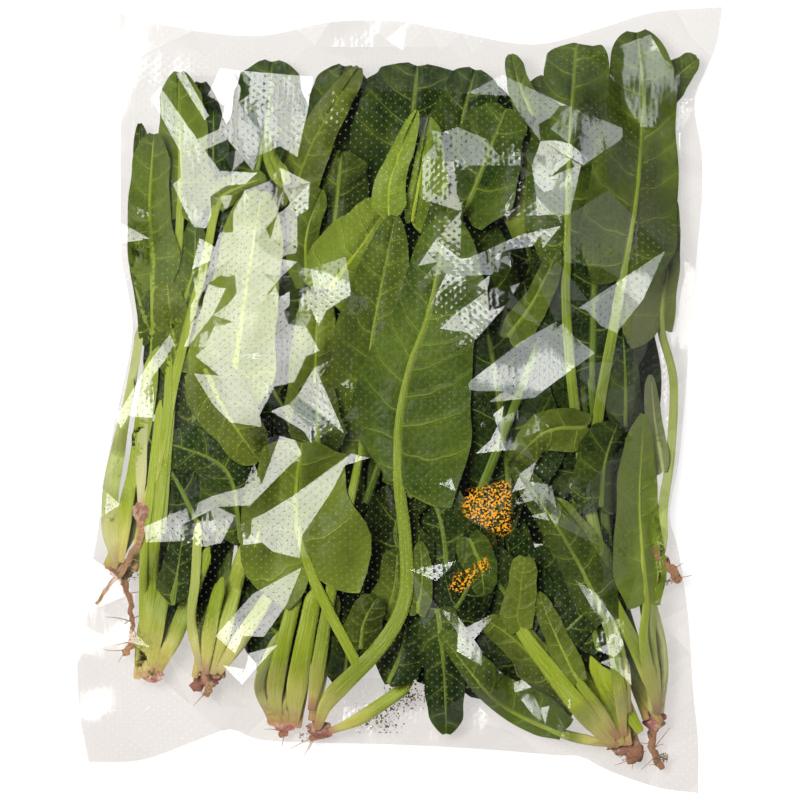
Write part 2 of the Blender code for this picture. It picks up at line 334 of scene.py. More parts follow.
def shifted(field, by, axis):
    """A grid or a line of values moved by one cell, with its edge repeated."""
    moved = np.roll(field, by, axis)
    edge = 0 if by > 0 else -1
    index = [slice(None)] * field.ndim
    index[axis] = edge
    moved[tuple(index)] = field[tuple(index)]
    return moved


def blurred(field, passes):
    """A grid or a line of values smoothed this many times over."""
    for _ in range(passes):
        for axis in range(field.ndim):
            field = 0.5 * field + 0.25 * (shifted(field, 1, axis) + shifted(field, -1, axis))
    return field


def stiffened(heights, reach=4, softness=12):
    """Heights along a stalk, which bridges what lies under it."""
    return np.maximum(blurred(widened(heights, reach), softness), heights)


bag = Bag()
OUTLINE = split_ring(bag.outline, 3.0)
pile = Pile()
leaves_front = Piece("leaves_front")
leaves_inner = Piece("leaves_inner")
stalks = Piece("stalks")
ribs = Piece("ribs")
crowns = Piece("crowns")
roots = Piece("roots")
soil = Piece("soil")
chance = np.random.default_rng(11)

LINE_STEP = 2.0
LEAF_THICKNESS = 0.45
CROWN_REACH = 55


def tube(piece, centres, widths, depths, sides, groove=0.0, **values):
    """A closed tube of oval section along a 3D line, with a groove along its top."""
    along = np.gradient(centres, axis=0)
    along /= np.linalg.norm(along, axis=1)[:, None]
    side = np.cross(along, [0, 0, 1.0])
    side /= np.maximum(np.linalg.norm(side, axis=1), 1e-6)[:, None]
    up = np.cross(side, along)
    turn = np.arange(sides) * 2 * math.pi / sides
    off_top = (turn - math.pi / 2 + math.pi) % (2 * math.pi) - math.pi
    section = 1 - groove * np.exp(-(off_top / 0.45) ** 2)
    ring = (side[:, None] * (np.cos(turn) * widths[:, None])[..., None]
            + up[:, None] * (np.sin(turn) * section * depths[:, None])[..., None])
    points = (centres[:, None] + ring).reshape(-1, 3)
    rows = len(centres)
    faces = [grid_faces(rows, sides, ring=True), np.arange(sides)[None, ::-1],
             (rows - 1) * sides + np.arange(sides)[None]]
    far = lengths_along(centres)
    uv = np.stack([np.repeat(far, sides), np.tile(turn, rows)], 1)
    spread = {key: np.repeat(value, sides) if np.ndim(value) else value
              for key, value in values.items()}
    piece.add(points, faces, uv, **spread)


def blade_outline(u, size, lobe, blunt, heel):
    """Half the blade's width and the angle of its side veins, along the rib."""
    full = heel + (1 - heel) * ease(u / 0.14)
    reach = size * (1 - u ** (2.2 + 1.2 * blunt)) ** (0.75 - 0.27 * blunt) * full
    angle = 62 + (lobe + 18 - 62) * np.exp(-u / 0.18)
    angle = angle + (84 - angle) * ease((u - 0.6) / 0.4)
    return reach, np.radians(angle)


def crown_taper(far):
    """How a stalk widens above its crown and narrows where it joins it."""
    return (1 + 0.2 * np.exp(-far / 25)) * (0.4 + 0.6 * ease((far + 2) / 22))


def leaf(rib, left, right, stalk=(), tone=0.4, pale=0.0, arch=0.0, wave=1.6, lobe=128,
         blunt=0.5, heel=0.6, radius=1.9, foot=3.6, foot_z=14.0, inner=False,
         crown_reach=CROWN_REACH, hidden=0.0):
    """Lays one leaf on the pile. rib runs from the blade's base to its tip, and stalk from
    the crown to the base. left and right are the half widths to the sides of the rib, lobe
    is the angle of the lobes at the base, heel how wide the base is for the blade, and blunt
    how round the tip is. The stalk goes from foot thick, at height foot_z, to radius. Its
    first hidden millimetres lie under the pile and aren't made."""
    seed = chance.random()
    line = pile.keep_inside(smooth_line([*stalk, *rib], LINE_STEP))
    far = lengths_along(line) + hidden
    base = np.argmin(np.linalg.norm(line - rib[0], axis=1)) if len(stalk) else 0
    bed = pile.bed()
    under = pile.read(bed, line)
    top = stiffened(under)
    if len(stalk):
        near = 1 - ease(far / crown_reach)
        top = np.maximum(top * (1 - near) + (foot_z - foot * 0.8) * near, under)
    blade_share = np.clip((far - far[base]) / (far[-1] - far[base]), 0, 1)
    if len(stalk):
        stalk_share = np.clip(far / far[base], 0, 1)
        thick = foot + (radius - foot) * stalk_share ** 0.7
    else:
        thick = np.full(len(line), radius)
    thick = thick * (1 - 0.82 * blade_share ** 0.8)
    centre_z = top + thick * (1 - 0.25 * blade_share)
    far_from_crown = far if len(stalk) else far + 150
    stop = len(line) - 2
    if len(stalk):
        centres = np.column_stack([line, centre_z])[:base + 3]
        widths = thick[:base + 3] * crown_taper(far[:base + 3])
        tube(stalks, centres, widths, thick[:base + 3], 12, groove=0.2, tone=tone, seed=seed,
             pale=pale, far=far[:base + 3])
        for offset in (-0.6, 0, 0.6):
            side = across(line)[1][:base + 3] * (thick[:base + 3] * offset)[:, None]
            pile.lay(line[:base + 3] + side, (centre_z + thick * 0.8)[:base + 3])
    lay_blade(line[base:], centre_z[base:] - under[base:], bed, left, right, tone, pale, arch,
              wave, lobe, blunt, heel, seed, inner)
    centres = np.column_stack([line, centre_z + 0.15])[base:stop]
    if len(centres) > 3:
        tube(ribs, centres, thick[base:stop] * 0.9, thick[base:stop] * 0.75, 8, tone=tone,
             seed=seed, pale=pale, far=far_from_crown[base:stop])


def lay_blade(line, above, bed, left, right, tone, pale, arch, wave, lobe, blunt, heel, seed,
              inner):
    """The leaf's blade, a thin closed sheet on both sides of the rib along this line, which
    lies this far above the bed."""
    length = lengths_along(line)[-1]
    fine = 3.2 if inner else 2.0
    rows = max(12, int(length / fine))
    columns = 2 * max(4, int(max(left, right) / fine)) + 1
    u = np.linspace(0, 0.985, rows)
    v = np.linspace(-1, 1, columns)
    place = np.linspace(0, 1, len(line))
    middle = np.column_stack([np.interp(u, place, line[:, i]) for i in (0, 1)])
    forward, leftward = across(middle)
    raised = np.interp(u, place, above)
    phase = chance.random(4) * 2 * math.pi
    lobes, heels = np.broadcast_to(lobe, 2), np.broadcast_to(heel, 2)
    points = np.zeros((rows, columns, 2))
    reach_of = np.zeros((rows, columns))
    for j, share in enumerate(v):
        right_side = int(share >= 0)
        size = (left, right)[right_side]
        side = -leftward if right_side else leftward
        reach, angle = blade_outline(u, size, lobes[right_side], blunt, heels[right_side])
        ragged = 1 + 0.05 * np.sin(9 * u + phase[0] + share) + 0.03 * np.sin(21 * u + phase[1])
        bend = angle - np.radians(10 + 22 * (1 - u) ** 2) * abs(share)
        out = abs(share) * reach * ragged
        points[:, j] = (middle + forward * (out * np.cos(bend))[:, None]
                        + side * (out * np.sin(bend))[:, None])
        reach_of[:, j] = out
    flat = pile.keep_inside(points.reshape(-1, 2))
    points = flat.reshape(rows, columns, 2)
    veins = max(4, round(length / 12))
    edge = np.abs(v)[None]
    ripple = 0.5 + 0.5 * np.sin(2 * math.pi * veins * 0.45 * u[:, None] + phase[2] + 2 * v[None])
    between_veins = veins * u[:, None] + np.where(v > 0, 0.0, 0.5)[None]
    quilt = np.abs(np.sin(math.pi * between_veins)) ** 0.7 * ease(edge * 5)
    slack = np.clip(pile.read(pile.edge_depth, flat) / 12, 0.1, 1).reshape(rows, columns)
    width = max(left, right)
    relief = wave * ripple * edge ** 2.5 + 1.1 * quilt * (1 - 0.6 * edge ** 2)
    bulge = np.sin(points[..., 0] / 5.5 + phase[0]) * np.sin(points[..., 1] / 7 + phase[1])
    relief += 0.9 * (1 + bulge) * ease(edge * 3)
    relief += arch * width * ((1 - edge ** 2) if arch > 0 else -edge ** 1.5)
    height = (pile.read(bed, flat).reshape(rows, columns) + 0.5 + slack * relief
              + raised[:, None] * np.exp(-(reach_of / 7) ** 2))
    pile.lay(flat, height.ravel() + LEAF_THICKNESS)
    upper = np.concatenate([points, height[..., None]], 2).reshape(-1, 3)
    lower = upper - [0, 0, LEAF_THICKNESS]
    count = rows * columns
    top_faces = grid_faces(rows, columns)[:, ::-1]
    rim = np.concatenate([np.arange(columns), np.arange(1, rows) * columns + columns - 1,
                          (rows - 1) * columns + np.arange(columns - 2, -1, -1),
                          np.arange(rows - 2, 0, -1) * columns])
    after = np.roll(rim, -1)
    rim_faces = np.stack([rim, after, after + count, rim + count], 1)
    uv = np.stack(np.meshgrid(u * veins, v, indexing="ij"), -1).reshape(-1, 2)
    piece = leaves_inner if inner else leaves_front
    piece.add(np.concatenate([upper, lower]),
              [top_faces, top_faces[:, ::-1] + count, rim_faces],
              np.concatenate([uv, uv]), tone=tone, seed=seed, pale=pale)


# ---------------------------------------------------------------- the plants

# Where each plant's crown lies
LEFT_EDGE_CROWN = (-126, -76)
TURNED_CROWN = (-117, -50)
CORNER_CROWN = (-112, -124)
SECOND_CROWN = (-86, -125)
MIDDLE_CROWN = (-52, -146)
CENTRE_CROWN = (-36, -149)
RIGHT_CROWN = (101, -154)
LAST_CROWN = (115, -144)


def hidden_leaves():
    """The plants under the ones that show, each a fan of leaves from its crown. Three of
    them have no crown of their own, and their stalks start further up."""
    fans = [(LEFT_EDGE_CROWN, 90, 5, 0), (CORNER_CROWN, 85, 7, 0), (SECOND_CROWN, 86, 7, 0),
            (MIDDLE_CROWN, 88, 8, 0), ((-5, -140), 88, 8, 26), ((30, -140), 90, 8, 26),
            ((65, -142), 88, 8, 26), (RIGHT_CROWN, 95, 8, 0), (LAST_CROWN, 92, 5, 0)]
    jobs = []
    for crown, aim, count, skipped in fans:
        for k in range(count):
            turn = 34 * ((k + 0.5) / count - 0.5)
            jobs.append((chance.random(), crown, aim + turn + chance.normal(0, 4), skipped))
    jobs.sort(key=lambda job: job[0])
    for _, crown, aim, skipped in jobs:
        crown = np.array(crown, float)
        stalk_length = chance.uniform(70, 175)
        blade = chance.uniform(75, 125)
        out = heading(aim)
        bend = heading(aim + 90) * chance.normal(0, 7)
        base = crown + out * stalk_length
        tip = base + heading(aim + chance.normal(0, 14)) * blade
        tip = np.clip(tip, [-90, -150], [86, chance.uniform(112, 152)])
        base = np.clip(base, [-94, -150], [86, tip[1] - blade * 0.75])
        middle = (base + tip) / 2 + bend
        start = crown + heading(aim - 90) * chance.uniform(-7, 7) + out * skipped
        width = chance.uniform(17, 30)
        # Their low tones darken them toward near-black, painted shade for the depths of the pile
        leaf([base, middle, tip], width * chance.uniform(0.8, 1), width,
             stalk=[start, (start + base) / 2 + bend, base - out * 6],
             tone=chance.uniform(-0.5, 0.08), wave=2.2, inner=True,
             foot=chance.uniform(2.8, 4.2), radius=1.7, foot_z=chance.uniform(6, 12),
             hidden=2.0 * skipped)


def leaves_between_stalks():
    """Short leaves that fill the root end, seen between the stalks, their low tones painted dark as
    the shade between them.
    """
    for low, high, count in (((-45, -138), (92, -112), 16), ((-112, -100), (-60, -60), 9),
                             ((-30, -110), (60, -75), 9)):
        for _ in range(count):
            base = chance.uniform(low, high)
            aim = chance.normal(90, 22)
            length = chance.uniform(42, 62)
            tip = base + heading(aim) * length
            bend = heading(aim + 90) * chance.normal(0, 5)
            width = chance.uniform(13, 20)
            leaf([base, (base + tip) / 2 + bend, tip], width, width * chance.uniform(0.8, 1),
                 tone=chance.uniform(-0.3, 0.15), inner=True, wave=1.5, heel=0.15)


def shown_leaves_top():
    """The leaves along the top and in the upper middle, from the lowest up."""
    leaf([(-66, 98), (-60, 125), (-58, 154)], 22, 22, tone=0.12)
    leaf([(-84, 80), (-84, 105), (-84, 131)], 10, 10, tone=0.0)
    leaf([(-40, 90), (-30, 120), (-25, 152)], 20, 22, tone=0.12)
    leaf([(5, 95), (5, 120), (8, 152)], 30, 32, tone=0.08)
    leaf([(-30, 70), (-28, 92), (-26, 112)], 24, 18, tone=0.06)
    leaf([(26, 100), (28, 125), (34, 150)], 18, 20, tone=0.15)
    leaf([(-50, 88), (-38, 118), (-18, 151)], 10, 11, tone=0.32, arch=0.1)
    leaf([(84, 120), (76, 142), (74, 163)], 13, 15, tone=0.3)
    leaf([(62, 95), (64, 120), (66, 147)], 16, 15, tone=0.05)
    leaf([(60, 128), (54, 142), (50, 157)], 7, 7, tone=0.4)
    leaf([(117, 138), (126, 147), (135, 155)], 9, 9, tone=0.35)
    leaf([(58, 76), (57, 100), (52, 124)], 14, 15, tone=0.55, blunt=0.7)
    leaf([(29, 84), (37, 104), (48, 132)], 21, 19, tone=0.2, blunt=0.8, radius=1.3)


def shown_leaves_left():
    """The leaves down the left side."""
    leaf([(-118, 62), (-118, 95), (-118, 126)], 5, 8, tone=0.15)
    leaf([(-112, 28), (-118, 45), (-124, 62)], 9, 9, tone=0.2)
    leaf([(-99, 84), (-99, 116), (-100, 149)], 14, 16, tone=0.45,
         stalk=[(-104, 20), (-101, 55)], hidden=120)
    leaf([(-100, 34), (-93, 58), (-92, 82)], 9, 8, tone=0.3,
         stalk=[(-108, -60), (-104, -10)], hidden=60)
    leaf([(-111, 52), (-113, 86), (-111, 121)], 15, 13, tone=0.38,
         stalk=[(-128, -70), (-124, -48), (-114, -8), (-111, 20)])
    leaf([(-100, 14), (-103, 34), (-105, 54)], 11, 11, tone=0.35)
    leaf([(-82, 88), (-72, 96), (-60, 100)], 8, 7, tone=0.5,
         stalk=[(-116, -118), (-113, -90), (-105, -10), (-97, 27), (-88, 60)], foot=3.4, radius=1.8)
    leaf([(-52, 97), (-58, 108), (-60, 122)], 4, 5, tone=0.75, arch=0.3)
    leaf([(-40, -16), (-38, 18), (-37, 52)], 14, 13, tone=0.6, blunt=0.7)
    leaf([(-76, 0), (-70, 45), (-62, 95)], 22, 20, tone=0.7)
    leaf([(-88, 14), (-78, -6), (-63, -28)], 17, 15, tone=0.5, lobe=110)


def shown_leaves_middle():
    """The leaves of the middle, with the largest one on top."""
    leaf([(-42, 52), (-42, 74), (-35, 95)], 9, 8, tone=0.4)
    leaf([(-32, 50), (-18, 68), (-5, 88)], 19, 18, tone=0.82, wave=0.8)
    leaf([(5, 80), (9, 102), (13, 128)], 5, 15, tone=0.72, blunt=0.0, heel=(0.5, 0.9))
    leaf([(-5, 80), (-4, 99), (8, 131)], 8, 9, tone=0.85, wave=0.4, blunt=0.0, heel=0.15,
         radius=1.2)
    leaf([(22, 60), (20, 78), (23, 92)], 12, 12, tone=0.25)
    leaf([(-18, -24), (-12, 30), (-2, 84)], 22, 20, tone=0.33, blunt=0.1, lobe=110, heel=0.4,
         stalk=[(-40, -140), (-30, -80)])
    leaf([(-37, -22), (-37, -8), (-38, 8)], 13, 13, tone=0.15)


def shown_leaves_right():
    """The leaves down the right side."""
    leaf([(75, 66), (76, 112), (80, 166)], 21, 24, tone=0.26, blunt=0.9,
         stalk=[(103, -140), (92, -80), (84, -40), (77, 8), (74.5, 45)], foot=3.4, radius=2.0,
         crown_reach=40)
    leaf([(49, 28), (60, 44), (71, 68)], 7, 9, tone=0.3, arch=-0.2)
    leaf([(101, -12), (101, 10), (100, 34)], 9, 9, tone=0.12)
    leaf([(118, 34), (121, 62), (124, 92)], 19, 7, tone=0.5, pale=0.25, lobe=140, heel=0.9,
         stalk=[(117, -140), (113, -100), (121, -48), (124, 5)], radius=1.8, foot=3.0)
    leaf([(100, 56), (107, 98), (110, 135), (107, 168)], 25, 22, tone=0.28, blunt=0.7,
         stalk=[(86, -40), (90, 0), (97, 38)], radius=2.2, hidden=120)
    leaf([(84, -12), (66, -14), (50, -28)], 12, 10, tone=0.33)
    leaf([(90, -48), (92, -28), (98, -10)], 16, 14, tone=0.08)
    leaf([(93, -80), (82, -62), (69, -44)], 9, 8, tone=0.5,
         stalk=[(117, -138), (110, -119), (97, -93)], foot=4.4, radius=2.4)
    leaf([(92, -98), (74, -62), (49, -26)], 11, 11, tone=0.16, blunt=0.2,
         stalk=[(101, -150), (98, -125)])
    leaf([(119, -32), (115, -10), (113, 12)], 6, 5, tone=0.75, pale=0.6)
    leaf([(111, -90), (108, -48), (110, -5)], 15, 12, tone=0.78, blunt=0.2,
         stalk=[(116, -140), (110, -110)], radius=1.6)


def shown_leaves_bottom():
    """The leaves and stalks along the root end."""
    leaf([(-26, -130), (-24, -113), (-22, -96)], 9, 9, tone=0.1, heel=0.2)
    leaf([(-5, -128), (1, -112), (5, -92)], 10, 12, tone=0.08, heel=0.2)
    leaf([(31, -62), (36, -74), (38, -88)], 9, 9, tone=0.25)
    leaf([(-6, -99), (-2, -84), (-1, -66)], 11, 9, tone=0.28)
    leaf([(-18, -112), (-16, -100), (-10, -88)], 10, 10, tone=0.2)
    leaf([(17, -94), (20, -122), (21, -152)], 13, 13, tone=0.12, lobe=100)
    leaf([(78, -140), (56, -112), (38, -98)], 12, 12, tone=0.3)
    leaf([(72, -150), (44, -136), (17, -104)], 6, 15, tone=0.36,
         stalk=[(98, -156), (86, -154)], foot=3)
    leaf([(80, -126), (70, -106), (62, -86)], 7, 7, tone=0.4,
         stalk=[(98, -152), (90, -140)])
    leaf([(54, -102), (54, -88), (56, -70)], 8, 9, tone=0.5, arch=0.25, blunt=1.0,
         stalk=[(95, -155), (83, -141), (69, -123)], foot=5.0, radius=2.8, foot_z=24)
    leaf([(1, -38), (12, -22), (28, -4)], 15, 13, tone=0.33)
    leaf([(8, -96), (10, -80), (9, -63)], 6, 6, tone=0.35)
    leaf([(-41, -75), (-47, -50), (-44, -18)], 27, 31, tone=0.5, lobe=150, heel=0.8, wave=1.6,
         stalk=[(-19, -120), (-24, -110), (-32, -95)], foot=2.4, radius=2.4, foot_z=18,
         hidden=60)
    leaf([(-0.5, -36), (-0.5, -10), (4.5, 16), (13, 40), (22, 86)], 25, 36, tone=0.3, wave=1.6,
         lobe=(95, 135), heel=(0.25, 0.7), blunt=0.1,
         stalk=[(-37, -147), (-31, -134), (-9, -111), (2, -90), (2.5, -64)], foot=4.2, radius=2.6,
         foot_z=20)


def bare_stalk(points, foot, radius, tone=0.5, pale=0.0, foot_z=12.0, ripe=0.0,
               reach=CROWN_REACH):
    """A stalk whose leaf doesn't show, from its crown up. A ripe one is green from its very
    foot: its colour is that of the part this far up a common stalk."""
    line = pile.keep_inside(smooth_line(points, LINE_STEP))
    far = lengths_along(line)
    under = pile.read(pile.bed(), line)
    near = 1 - ease(far / reach)
    top = stiffened(under) * (1 - near) + (foot_z - foot * 0.8) * near
    top = np.maximum(top, under)
    thick = foot + (radius - foot) * (far / far[-1]) ** 0.7
    centre_z = top + thick
    shape = crown_taper(far) * (0.2 + 0.8 * ease((far[-1] - far + 1) / 7))
    tube(stalks, np.column_stack([line, centre_z]), thick * shape, thick * shape, 12,
         groove=0.2, tone=tone, seed=chance.random(), pale=pale, far=far + ripe)
    side = across(line)[1]
    for offset in (-0.6, 0, 0.6):
        pile.lay(line + side * (thick * offset)[:, None], centre_z + thick * 0.8)


def shown_stalks():
    """The stalks that fan up from the crowns along the root end."""
    # the plant at the left edge
    bare_stalk([(-129, -73), (-134, -54), (-134, -30), (-124, 0), (-120, 34)], 2.6, 2.0, 0.6, 0.5)
    bare_stalk([(-128, -73), (-130, -50), (-126, -20), (-122, 10)], 2.4, 1.8, 0.6, 0.3)
    bare_stalk([(-126, -73), (-124, -54), (-119, -20), (-113, 20)], 3.0, 2.0, 0.55)
    # the turned plant
    bare_stalk([(-117, -48), (-116.5, -20), (-114, 10)], 2.8, 2.0, 0.6, 0.6)
    bare_stalk([(-116, -48), (-110, -31), (-105.5, -8), (-104, 22)], 2.2, 1.6, 0.5, 0.0)
    # the corner plant
    bare_stalk([(-116, -121), (-115.5, -73), (-112, -36), (-108, 0)], 2.0, 1.8, 0.6)
    bare_stalk([(-109, -122), (-102, -107), (-94, -87), (-86, -66)], 4.0, 3.0, 0.4, 0.0)
    bare_stalk([(-112.5, -122), (-110, -104), (-106, -84), (-100, -60)], 3.6, 2.6, 0.4)
    leaf([(-103, -92), (-100, -76), (-97, -56)], 9, 8, tone=0.05, heel=0.05)
    # the second plant
    bare_stalk([(-85, -123), (-82, -111), (-77, -93), (-71, -72), (-64, -56)], 4.8, 3.2, 0.6, 0.1)
    bare_stalk([(-88, -123), (-85, -100), (-80, -80)], 3.6, 2.8, 0.4, 0.0)
    bare_stalk([(-90, -122), (-94, -100), (-92, -80), (-90.6, -54)], 2.2, 2.0, 0.7, 0.25)
    bare_stalk([(-82, -123), (-72, -108), (-60, -90), (-50, -76)], 3.8, 2.8, 0.5, 0.2)
    # the middle plant
    bare_stalk([(-40, -145), (-35, -119), (-28, -88)], 3.4, 2.8, 0.3)
    bare_stalk([(-59, -144), (-63, -128), (-54, -104)], 2.8, 2.4, 0.4, 0.2)
    bare_stalk([(-55, -145), (-56, -127), (-46, -84)], 4.0, 3.2, 0.5)
    bare_stalk([(-48, -146), (-46, -126), (-38, -84)], 4.8, 3.8, 0.55)
    # the centre plant
    bare_stalk([(-32, -150), (-20, -145), (-9, -138), (6, -127)], 3.0, 2.8, 0.6, foot_z=14)
    # the right plant, with stalks cut off short
    bare_stalk([(98, -152), (90, -135), (78, -118)], 3.4, 2.4, 0.5, ripe=30)
    bare_stalk([(99, -151), (95, -136), (86, -116)], 4.0, 3.0, 0.7, ripe=40)
    bare_stalk([(108, -149), (100, -136), (90, -120)], 4.4, 3.6, 0.65, ripe=25)
    # the last plant
    bare_stalk([(118, -141), (118, -112), (112, -86)], 3.2, 2.2, 0.6, 0.6, ripe=12)
    bare_stalk([(114, -141), (112, -120), (110, -98)], 2.6, 2.0, 0.5, 0.3, ripe=12)


def crown(centre, height, across_mm, length, aim, tone=0.0):
    """The hard knot that a plant's stalks grow from, and that its root hangs on."""
    rows, sides = 12, 18
    share = np.linspace(0, 1, rows)
    profile = np.sin(math.pi * np.clip(0.12 + 0.83 * share, 0, 1)) ** 0.6
    out = heading(aim)
    line = np.array(centre) + out * ((share - 0.45) * length)[:, None]
    centres = np.column_stack([line, np.full(rows, float(height))])
    bumps = 1 + 0.12 * np.sin(share * 17 + centre[0]) + 0.06 * np.sin(share * 31)
    widths = across_mm / 2 * profile * bumps
    tube(crowns, centres, widths, widths * 0.75, sides, tone=tone, seed=chance.random(),
         far=share * length)


def root(points, thick, thin, start_z, end_z, tone=0.5, hairs=6, on_top=False):
    """A tapering taproot with a few fine side roots. One on top lies over the pile."""
    line = smooth_line(points, 1.5)
    share = np.linspace(0, 1, len(line))
    wander = 0.5 * np.sin(share * 19 + points[0][0]) + 0.3 * np.sin(share * 41)
    side = across(line)[1]
    line = line + side * wander[:, None]
    z = start_z + (end_z - start_z) * share + 0.5 * np.sin(share * 15)
    if on_top:
        over = stiffened(pile.read(widened(pile.top, 1), line), 3, 6) + thick / 2
        z = np.maximum(z, over)
    width = (thick + (thin - thick) * share ** 0.8) / 2
    width = width * (1 + 0.1 * np.sin(share * 55) + 0.07 * np.sin(share * 90 + 1))
    tube(roots, np.column_stack([line, z]), width, width, 10, tone=tone,
         seed=chance.random(), far=share * 30)
    for _ in range(hairs):
        at = chance.integers(1, len(line) - 1)
        hair(line[at], z[at], chance.uniform(0, 360), chance.uniform(4, 13))


def hair(start, z, aim, length):
    """One fine side root."""
    share = np.linspace(0, 1, 9)
    bend = chance.normal(0, 0.25) * length
    line = (np.array(start) + heading(aim) * (share * length)[:, None]
            + heading(aim + 90) * (bend * share ** 2)[:, None])
    height = z - share * chance.uniform(0, 4)
    tube(roots, np.column_stack([line, np.maximum(height, 2.5)]), 0.28 * (1 - 0.6 * share),
         0.28 * (1 - 0.6 * share), 5, tone=0.6, seed=chance.random(), far=share * 10)


# Where fine soil lies: the place, its height, how many crumbs and how far they spread
SOIL_PATCHES = (((118, -162), 8, 90, 1.8), ((121, -82), 14, 60, 1.6), ((104, -160), 9, 120, 2.8),
                ((-9, -144), 8, 260, 6), ((-88, -122), 14, 60, 3), ((-40, -151), 8, 60, 3),
                ((2, -134), 10, 260, 5), ((-124, -80), 12, 60, 3))


def crowns_and_roots():
    """Every crown and root that shows, and the fine soil still on them."""
    crown(LEFT_EDGE_CROWN, 12, 13, 9, -95, 1.0)
    turned_height = pile.read(widened(pile.top, 2), np.array([TURNED_CROWN], float))[0] + 2
    crown(TURNED_CROWN, turned_height, 8, 8, -100, 0.7)
    crown(CORNER_CROWN, 12, 10, 7, -95, 0.1)
    crown(SECOND_CROWN, 12, 10, 8, -110, 0.2)
    crown(MIDDLE_CROWN, 12, 13, 7, -90, 0.1)
    crown(CENTRE_CROWN, 12, 12, 8, -100, 0.5)
    crown(RIGHT_CROWN, 13, 15, 12, -60, 0.6)
    crown(LAST_CROWN, 13, 11, 10, -92, 0.1)
    root([(-117, -50), (-116.5, -60), (-124, -75), (-138, -92)], 4.2, 1.4, 24, 5, 0.7, hairs=5,
         on_top=True)
    root([(-126, -79), (-122, -92), (-121, -108)], 3.2, 1.8, 12, 7, 0.4, hairs=9)
    root([(-121, -106), (-122, -111), (-125, -115)], 3.8, 3.0, 9, 8, 0.8, hairs=3)
    root([(-90, -127), (-94, -131)], 6.0, 4.4, 12, 9, 0.15, hairs=1)
    root([(-85, -127), (-88, -134)], 4.4, 3.2, 12, 8, 0.9, hairs=2)
    root([(-52, -149), (-54, -152)], 4, 3, 11, 9, 0.2, hairs=4)
    root([(-37, -151), (-41, -153)], 5, 3, 11, 8, 0.5, hairs=5)
    root([(104, -157), (108, -160), (103, -163)], 8, 5, 12, 8, 0.3, hairs=3)
    root([(115, -148), (114, -157), (118.5, -167)], 4.2, 2.8, 12, 5, 0.5, hairs=5)
    root([(114, -67), (124, -78), (126, -82)], 4.6, 4.0, 20, 14, 0.45, hairs=3)
    for place, height, count, spread in SOIL_PATCHES:
        for _ in range(count):
            off = np.clip(chance.normal(0, 1, 2), -1.8, 1.8) * [spread, 0.6 * spread]
            crumb(np.array(place) + off, height + chance.normal(0, 1.2),
                  0.15 + 0.35 * chance.random() ** 2)


def crumb(place, height, size):
    """One crumb of soil, a squashed and dented ball."""
    rows, sides = 5, 6
    share = np.linspace(0, 1, rows)
    profile = np.sin(math.pi * (0.12 + 0.76 * share)) * size
    profile = profile * chance.uniform(0.75, 1.2, rows)
    line = place + heading(chance.uniform(0, 360)) * ((share - 0.5) * 2 * size)[:, None]
    tube(soil, np.column_stack([line, np.full(rows, max(height, 2))]), profile, profile * 0.8,
         sides, tone=chance.random(), seed=chance.random(), far=share)


MOST_SQUASHED = 0.25
MOST_RAISED = 1.5


def press_into_bag(pieces):
    """Presses the whole pile to the height of the film over it."""
    top = blurred(widened(pile.top, 2), 8)
    share = (pile.ceiling - pile.floor) / np.maximum(top - pile.floor, 4)
    share = blurred(np.clip(share, MOST_SQUASHED, MOST_RAISED), 6)
    for piece in pieces:
        for points in piece.points:
            flat = points[:, :2]
            floor = pile.read(pile.floor, flat)
            room = pile.read(pile.ceiling, flat) - floor
            height = (points[:, 2] - floor) * pile.read(share, flat)
            points[:, 2] = floor + soft_limit(height, np.maximum(room, 1.0))


def soft_limit(height, room):
    """Heights kept between 0 and room, eased near the top."""
    near = 0.8 * room
    over = np.maximum(height - near, 0)
    spare = room - near
    return np.maximum(np.minimum(height, near), 0) + spare * (1 - np.exp(-over / spare))


# ---------------------------------------------------------------- materials

